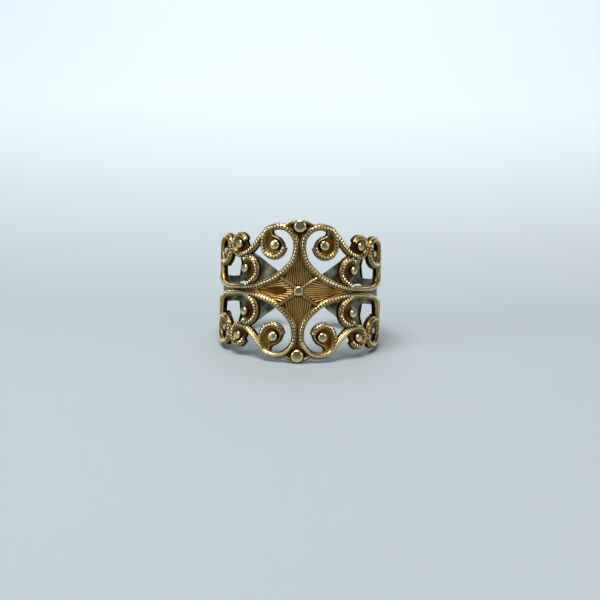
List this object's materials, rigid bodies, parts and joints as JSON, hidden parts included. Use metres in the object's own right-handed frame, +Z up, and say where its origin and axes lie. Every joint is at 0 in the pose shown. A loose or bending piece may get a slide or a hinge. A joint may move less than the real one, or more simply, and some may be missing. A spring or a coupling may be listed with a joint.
{
  "type": "filigree openwork ring",
  "caption": "Wide adjustable finger ring, an open band of pierced scrollwork with rope edges, domed studs and a four-pointed star in front.",
  "frame": {"origin": "on the surface that the ring lies on, under the middle of its bounding box", "axes": "+Z up, -Y the way the star on the front of the band faces, +X to its right; the finger hole runs up along Z and leans back towards +Y by 10.8 degrees, as the ring rests on its lower end stud and on the band's lower edge behind"},
  "size_m": [0.019, 0.0202, 0.0157],
  "materials": {
    "antique_brass": "antiqued brass, dark in the recesses and burnished pale gold on the ropes and studs"
  },
  "bodies": {
    "root": {"filigree_band": "antique_brass"}
  },
  "joints": []
}
